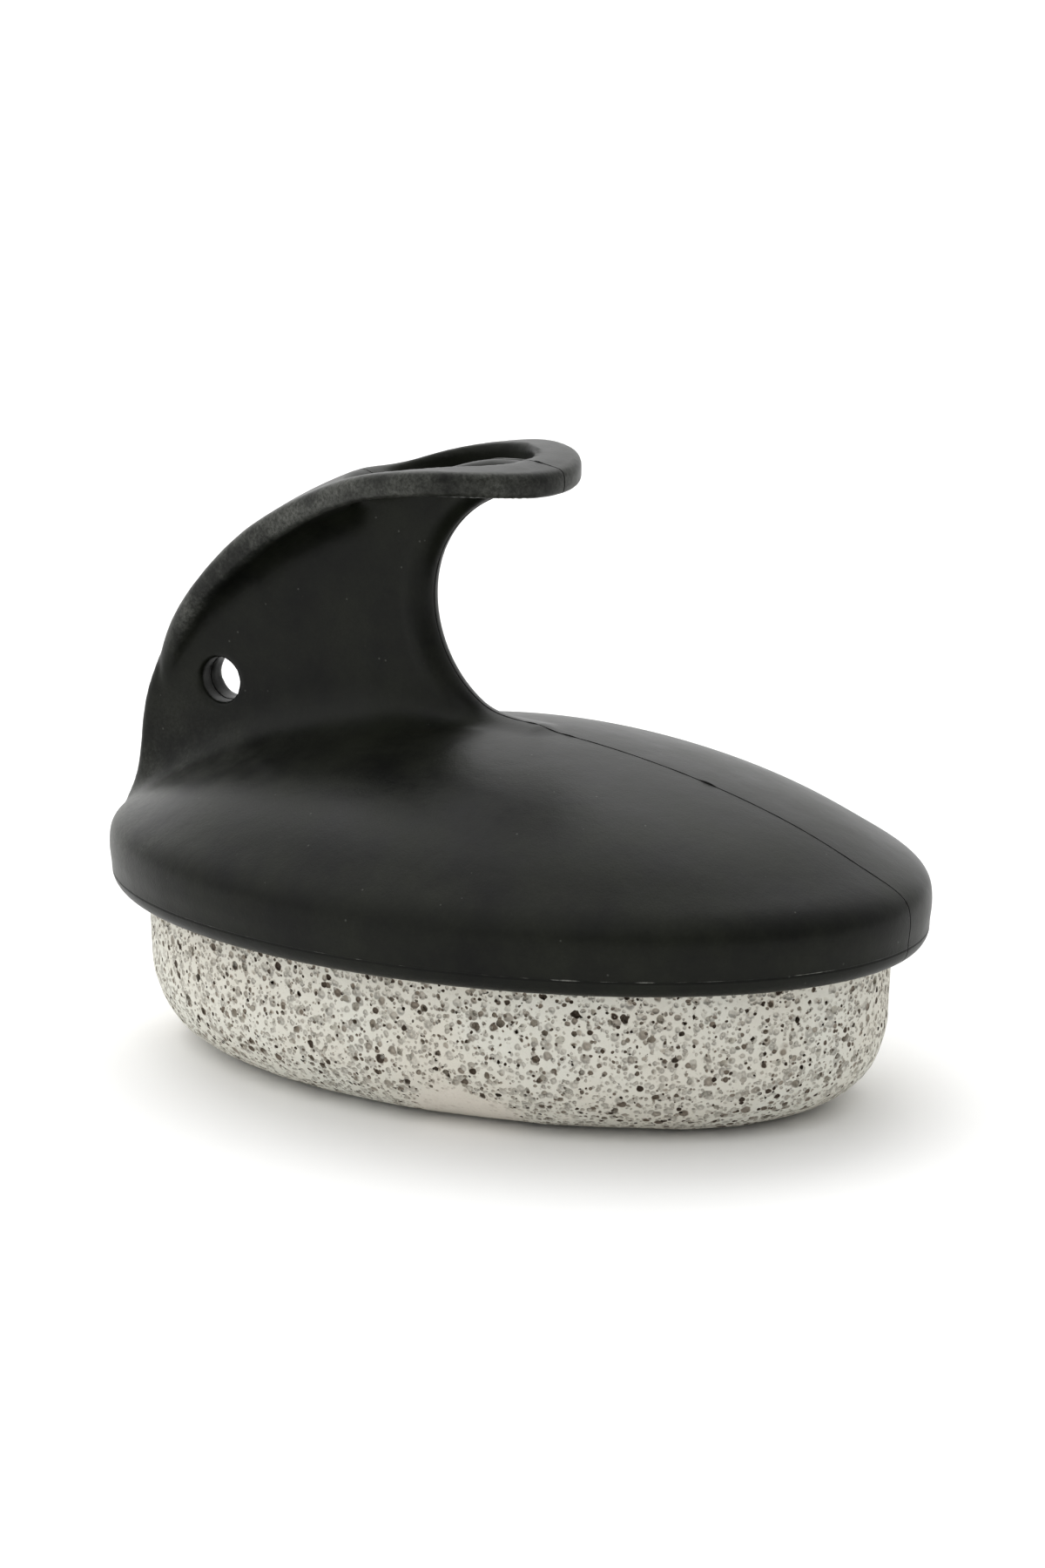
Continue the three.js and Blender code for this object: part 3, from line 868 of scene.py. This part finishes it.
def pore_tree():
    """Geometry Nodes: one irregular bubble at each point, all cut out of the stone."""
    tree, inputs = geometry_tree("Cut pores", {
        "Stone": "Geometry", "Pore places": "Object", "Unevenness": "Float", "Fineness": "Int",
        "Material": "Material",
    })
    places = add(tree, "GeometryNodeObjectInfo", {"Object": inputs["Pore places"]})
    position = add(tree, "GeometryNodeInputPosition")
    size = add(tree, NAMED, {"Name": "size"}, data_type="FLOAT_VECTOR")
    turn = add(tree, NAMED, {"Name": "turn"}, data_type="FLOAT_VECTOR")
    shapes = 6
    joined = add(tree, "GeometryNodeJoinGeometry")
    for i in range(shapes):
        ball = add(tree, "GeometryNodeMeshIcoSphere", {"Subdivisions": inputs["Fineness"], "Radius": 1.0})
        lookup = add(tree, VECTOR_MATH, [position, (7.0 * i, 3.0, 1.0)], operation="ADD")
        noise = add(tree, NOISE, {"Vector": lookup, "Scale": 1.25, "Detail": 1.0})
        push = add(tree, MATH, [noise, 0.62], operation="SUBTRACT")
        push = add(tree, MATH, [push, inputs["Unevenness"], 1.0], operation="MULTIPLY_ADD")
        push = add(tree, MATH, [push, 1.0], operation="MINIMUM")
        moved = add(tree, VECTOR_MATH, {0: position, "Scale": push}, operation="SCALE")
        shaped = add(tree, "GeometryNodeSetPosition", {"Geometry": ball, "Position": moved})
        one = add(tree, "GeometryNodeGeometryToInstance", [shaped])
        tree.links.new(one.outputs[0], joined.inputs[0])
    pick = add(tree, "FunctionNodeRandomValue", {"Seed": 11, 4: 0, 5: shapes - 1}, data_type="INT")
    instances = add(tree, "GeometryNodeInstanceOnPoints", {
        "Points": places.outputs["Geometry"], "Instance": joined, "Instance Index": pick.outputs[2],
        "Rotation": turn, "Scale": size, "Pick Instance": True,
    })
    real = add(tree, "GeometryNodeRealizeInstances", [instances])
    # Each pore's painted shade goes onto its faces.
    shade = add(tree, NAMED, {"Name": "shade"}, data_type="FLOAT")
    with_pit_shade = add(tree, STORE, {"Geometry": real, "Name": "tint", "Value": shade},
                 data_type="FLOAT", domain="FACE")
    marked = add(tree, STORE, {"Geometry": with_pit_shade, "Name": "pit", "Value": 1.0},
                 data_type="FLOAT", domain="FACE")
    cut = add(tree, "GeometryNodeMeshBoolean", [inputs["Stone"], marked],
              operation="DIFFERENCE", solver="MANIFOLD")
    finish_tree(tree, cut, inputs["Material"])
    return tree


def stone_material(s):
    """Natural pumice, sawn and ground: a light, chalky glass foam. The skin between the pores is pale and
    dull; the pores' walls carry painted shade, a warm grey, and the deepest ones painted shade that is nearly
    black."""
    material, tree, shader = new_material("Ground natural pumice")
    place = add(tree, "ShaderNodeTexCoord").outputs["Object"]
    pit = add(tree, ATTRIBUTE, attribute_name="pit").outputs["Fac"]
    depth = add(tree, ATTRIBUTE, attribute_name="depth").outputs["Fac"]
    tint = add(tree, ATTRIBUTE, attribute_name="tint").outputs["Fac"]
    hard = add(tree, ATTRIBUTE, attribute_name="hard").outputs["Fac"]
    foam = add(tree, MATH, [hard, -0.9, 1.0], operation="MULTIPLY_ADD")

    # Slow drift between a cool and a warm white, over centimetres, and a pinkish hard patch.
    drift = add(tree, NOISE, {"Vector": place, "Scale": 1 / (12 * MM), "Detail": 5.0})
    drift = add(tree, RAMP, [drift], stops=[(0.35, 0.0), (0.65, 1.0)])
    skin = add(tree, MIX, {0: drift, 6: s.body, 7: s.warm}, data_type="RGBA").outputs[2]
    pink = add(tree, MATH, [hard, 0.4], operation="MULTIPLY")
    skin = add(tree, MIX, {0: pink, 6: skin, 7: "#e6dcd2"}, data_type="RGBA").outputs[2]

    # Shallow bubbles in three sizes, too many to cut one by one: their lookup is bent, so that none is round.
    bend = add(tree, NOISE, {"Vector": place, "Scale": 1 / (0.8 * MM), "Detail": 1.0}).outputs["Color"]
    bend = add(tree, VECTOR_MATH, [bend, (0.5, 0.5, 0.5)], operation="SUBTRACT")
    strength = (0.4 * MM, 0.4 * MM, 0.4 * MM)
    bent = add(tree, VECTOR_MATH, [bend, strength, place], operation="MULTIPLY_ADD")
    painted_pore_shade, sunk = None, None
    for across, share, palest in ((1.5, 0.35, 0.13), (1.0, 0.08, 0.17), (0.6, 0.20, 0.24)):
        cells = add(tree, CELLS, {"Vector": bent, "Scale": 1 / (across * MM), "Randomness": 0.85})
        kind = add(tree, "ShaderNodeSeparateColor", [cells.outputs["Color"]])
        chosen = add(tree, MATH, [kind, share], operation="GREATER_THAN")
        chosen = add(tree, MATH, [chosen, foam], operation="MULTIPLY")
        edge = add(tree, MATH, [kind.outputs[1], 0.18, 0.32], operation="MULTIPLY_ADD")
        ratio = add(tree, MATH, [cells, edge], operation="DIVIDE")
        bowl = add(tree, MATH, [ratio, ratio], operation="MULTIPLY")
        bowl = add(tree, MATH, [bowl, -1.0, 1.0], operation="MULTIPLY_ADD", use_clamp=True)
        bowl = add(tree, MATH, [bowl, chosen], operation="MULTIPLY")
        painted_shade = add(tree, MATH, [kind.outputs[2], 5.0], operation="POWER")
        painted_shade = add(tree, MATH, [painted_shade, 0.9, palest], operation="MULTIPLY_ADD")
        layer = add(tree, RAMP, [bowl], stops=[(0.0, 0.0), (0.45, 1.0)])
        layer = add(tree, MATH, [layer, painted_shade], operation="MULTIPLY")
        below = add(tree, MATH, [bowl, bowl], operation="MULTIPLY")
        below = add(tree, MATH, [below, 0.50 * across * MM], operation="MULTIPLY")
        painted_pore_shade = layer if painted_pore_shade is None else add(tree, MATH, [painted_pore_shade, layer], operation="MAXIMUM")
        sunk = below if sunk is None else add(tree, MATH, [sunk, below], operation="MAXIMUM")
    # Painted shade: the bubbles' grey, and near black for the darkest, stand in for the shade inside a pore.
    grey = add(tree, MATH, [painted_pore_shade, 1.4], operation="MULTIPLY", use_clamp=True)
    skin = add(tree, MIX, {0: grey, 6: skin, 7: s.inside}, data_type="RGBA").outputs[2]
    black = add(tree, MATH, [painted_pore_shade, 2.2, -1.2], operation="MULTIPLY_ADD", use_clamp=True)
    skin = add(tree, MIX, {0: black, 6: skin, 7: s.deep}, data_type="RGBA").outputs[2]

    # Painted shade on the walls of the cut pores, stronger the deeper they go.
    wall = add(tree, RAMP, [tint], stops=[
        (0.0, "#c9c6bb"), (0.12, "#b4afa3"), (0.4, s.inside), (0.72, "#655a4d"), (1.0, s.deep),
    ])
    into = add(tree, RAMP, [depth], stops=[(0.0, 0.35), (0.3, 1.0)])
    wall = add(tree, MIX, {0: into, 6: skin, 7: wall}, data_type="RGBA").outputs[2]
    colour = add(tree, MIX, {0: pit, 6: skin, 7: wall}, data_type="RGBA").outputs[2]

    rough = add(tree, NOISE, {"Vector": place, "Scale": 1 / (0.35 * MM), "Detail": 3.0})
    height = add(tree, MATH, [sunk, -1.0], operation="MULTIPLY")
    height = add(tree, MATH, [rough, 0.06 * MM, height], operation="MULTIPLY_ADD")
    bump = add(tree, "ShaderNodeBump", {"Height": height, "Strength": 0.9, "Distance": 1.0})
    tree.links.new(colour, shader.inputs["Base Color"])
    tree.links.new(bump.outputs["Normal"], shader.inputs["Normal"])
    shader.inputs["Roughness"].default_value = 0.95
    shader.inputs["IOR"].default_value = 1.5
    shader.inputs["Specular IOR Level"].default_value = 0.2
    return material


class STONE_OT_build(bpy.types.Operator):
    """Build the pumice stone and cut its pores"""

    bl_idname = "pumice.build_stone"
    bl_label = "Pumice stone"

    def execute(self, context):
        s = in_mm(context.scene.pumice_stone)
        points, faces = stone_body(s)
        material = stone_material(s)
        stone = make_object("pumice", points, faces, material)
        skin = BVHTree.FromPolygons(points.tolist(), faces)
        tree = pore_tree()
        # The large pores are cut first, and smaller ones then break into their walls.
        rounds = (
            (s.large_tries, s.pore_large, s.pore_large * 0.62, 2),
            (s.medium_tries, s.pore_large * 0.66, s.pore_large * 0.42, 1),
            (s.small_tries, s.pore_large * 0.44, s.pore_small, 1),
        )
        for step, (tries, largest, smallest, fineness) in enumerate(rounds):
            centres, radius, sink = pore_places(s, points, faces, tries, largest, smallest, s.seed + step)
            cut_pores(stone, tree, centres, radius, sink, fineness, s.seed + step)
        mesh = stone.data
        mesh.shade_smooth()
        mesh.set_sharp_from_angle(angle=math.radians(60))
        crisp_rims(mesh)
        found = mesh_points(mesh)
        set_attribute(mesh, "depth", [skin.find_nearest(Vector(p))[3] for p in found])
        set_attribute(mesh, "hard", smooth_patch(found))
        hang_on_frame(stone, "pumice_stone")
        return {"FINISHED"}


def crisp_rims(mesh):
    """Keeps the shading crisp where a pore meets the skin or another pore."""
    corner_edge = np.zeros(len(mesh.loops), np.int32)
    mesh.loops.foreach_get("edge_index", corner_edge)
    sides = np.zeros(len(mesh.polygons), np.int32)
    mesh.polygons.foreach_get("loop_total", sides)
    kind = np.zeros(len(mesh.polygons), np.float32)
    mark = np.zeros(len(mesh.polygons), np.float32)
    mesh.attributes["pit"].data.foreach_get("value", kind)
    mesh.attributes["tint"].data.foreach_get("value", mark)
    corner_mark = np.repeat(10 * kind + mark, sides)
    low = np.full(len(mesh.edges), 100.0)
    high = np.full(len(mesh.edges), -100.0)
    np.minimum.at(low, corner_edge, corner_mark)
    np.maximum.at(high, corner_edge, corner_mark)
    sharp = mesh.attributes.get("sharp_edge") or mesh.attributes.new("sharp_edge", "BOOLEAN", "EDGE")
    values = np.zeros(len(mesh.edges), bool)
    sharp.data.foreach_get("value", values)
    sharp.data.foreach_set("value", values | (high - low > 1e-5))


def cut_pores(stone, tree, centres, radius, sink, fineness, seed):
    """Cuts one round of pores out of the stone."""
    rng = np.random.default_rng(seed + 100)
    places = make_object("pore_places", centres, [], stone.data.materials[0])
    squash = rng.uniform(0.62, 1.0, (len(centres), 3))
    size = radius[:, None] * squash / squash.max(1)[:, None] * MM
    for name, values in (("size", size), ("turn", rng.uniform(0, 2 * math.pi, (len(centres), 3)))):
        attribute = places.data.attributes.new(name, "FLOAT_VECTOR", "POINT")
        attribute.data.foreach_set("vector", values.astype(np.float32).ravel())
    # Painted shade in each pore: shallow pores stay pale, deep ones are grey-brown, and the deepest are
    # nearly black.
    shade = ease(sink, -0.5, 0.75) * rng.uniform(0.5, 1.0, len(sink))
    shade = np.clip(shade * np.interp(radius, [0.25, 0.8], [1.2, 0.62]), 0, 1)
    set_attribute(places.data, "shade", shade)
    modifier = stone.modifiers.new("Pores", "NODES")
    modifier.node_group = tree
    set_input(modifier, "Pore places", places)
    set_input(modifier, "Unevenness", PORE_UNEVENNESS)
    set_input(modifier, "Fineness", fineness)
    set_input(modifier, "Material", stone.data.materials[0])
    baked(stone)
    bpy.data.objects.remove(places)


# ---- The stage -----------------------------------------------------------------------------------


class STAGE_OT_build(bpy.types.Operator):
    """Build the pale floor, the soft lights and the camera"""

    bl_idname = "pumice.build_stage"
    bl_label = "Stage"

    def execute(self, context):
        s = context.scene.pumice_stage
        scene = context.scene
        material, _, shader = new_material("Pale paper floor")
        shader.inputs["Base Color"].default_value = linear(s.floor)
        shader.inputs["Roughness"].default_value = 0.9
        shader.inputs["Specular IOR Level"].default_value = 0.1
        # Half the floor's side, in metres.
        half = 6.0
        corners = [(-half, -half, 0), (half, -half, 0), (half, half, 0), (-half, half, 0)]
        floor = make_object("floor", np.array(corners) / MM, [(0, 1, 2, 3)], material)

        world = bpy.data.worlds.new("Soft room")
        world.use_nodes = True
        # The room is brighter behind the object and overhead than behind the camera.
        tree = world.node_tree
        looking = add(tree, "ShaderNodeTexCoord").outputs["Generated"]
        brightest = (-0.45, 0.70, 0.55)
        ahead = add(tree, VECTOR_MATH, [looking, brightest], operation="DOT_PRODUCT").outputs["Value"]
        share = add(tree, MATH, [ahead, 0.5, 0.5], operation="MULTIPLY_ADD", use_clamp=True)
        glow = add(tree, RAMP, [share], stops=[(0.15, 0.17), (0.7, 0.55), (0.85, 0.65), (0.97, 1.0)])
        background = tree.nodes["Background"]
        tree.links.new(glow.outputs[0], background.inputs["Color"])
        background.inputs["Strength"].default_value = s.room_light
        scene.world = world
        scene.view_settings.view_transform = "Standard"

        target = Vector((0, 0, s.target_height))
        # Wide distant lights, so that the floor is lit evenly all over.
        for name, place, spread, power in (
            ("overhead_light", (-0.35, 0.45, 1.0), 50, 0.9),
            ("front_light", (-0.35, -0.75, 0.8), 85, 0.98),
        ):
            light = bpy.data.lights.new(name, "SUN")
            light.angle = math.radians(spread)
            light.energy = power
            lamp = bpy.data.objects.new(name, light)
            lamp.location = place
            lamp.rotation_euler = (-Vector(place)).to_track_quat("-Z", "Y").to_euler()
            scene.collection.objects.link(lamp)

        camera = bpy.data.cameras.new("camera")
        camera.lens = s.lens
        camera.sensor_fit = "AUTO"
        camera.sensor_width = 36.0
        camera.clip_start = 0.01
        camera.shift_x = 0.0069
        camera.shift_y = -0.005
        back = Vector((
            math.sin(s.azimuth) * math.cos(s.elevation),
            -math.cos(s.azimuth) * math.cos(s.elevation),
            math.sin(s.elevation),
        ))
        stand = bpy.data.objects.new("camera", camera)
        stand.location = target + back * s.distance
        stand.rotation_euler = (-back).to_track_quat("-Z", "Y").to_euler()
        scene.collection.objects.link(stand)
        scene.camera = stand
        return {"FINISHED"}


# ---- Panel and registration ----------------------------------------------------------------------


class PUMICE_PT_panel(bpy.types.Panel):
    """Lists the builders"""

    bl_idname = "PUMICE_PT_panel"
    bl_label = "Pumice Stone"
    bl_space_type = "VIEW_3D"
    bl_region_type = "UI"
    bl_category = "Pumice"

    def draw(self, context):
        for operator in OPERATORS:
            self.layout.operator(operator.bl_idname)


OPERATORS = (STAGE_OT_build, GRIP_OT_build, STONE_OT_build)
SETTINGS = (("pumice_grip", GripSettings), ("pumice_stone", StoneSettings), ("pumice_stage", StageSettings))


def register():
    for name, settings in SETTINGS:
        bpy.utils.register_class(settings)
        setattr(bpy.types.Scene, name, bpy.props.PointerProperty(type=settings))
    for operator in OPERATORS:
        bpy.utils.register_class(operator)
    bpy.utils.register_class(PUMICE_PT_panel)


def unregister():
    bpy.utils.unregister_class(PUMICE_PT_panel)
    for operator in reversed(OPERATORS):
        bpy.utils.unregister_class(operator)
    for name, settings in reversed(SETTINGS):
        delattr(bpy.types.Scene, name)
        bpy.utils.unregister_class(settings)


def main():
    register()
    bpy.ops.pumice.build_stage()
    bpy.ops.pumice.build_grip()
    bpy.ops.pumice.build_stone()


if __name__ == "__main__":
    main()
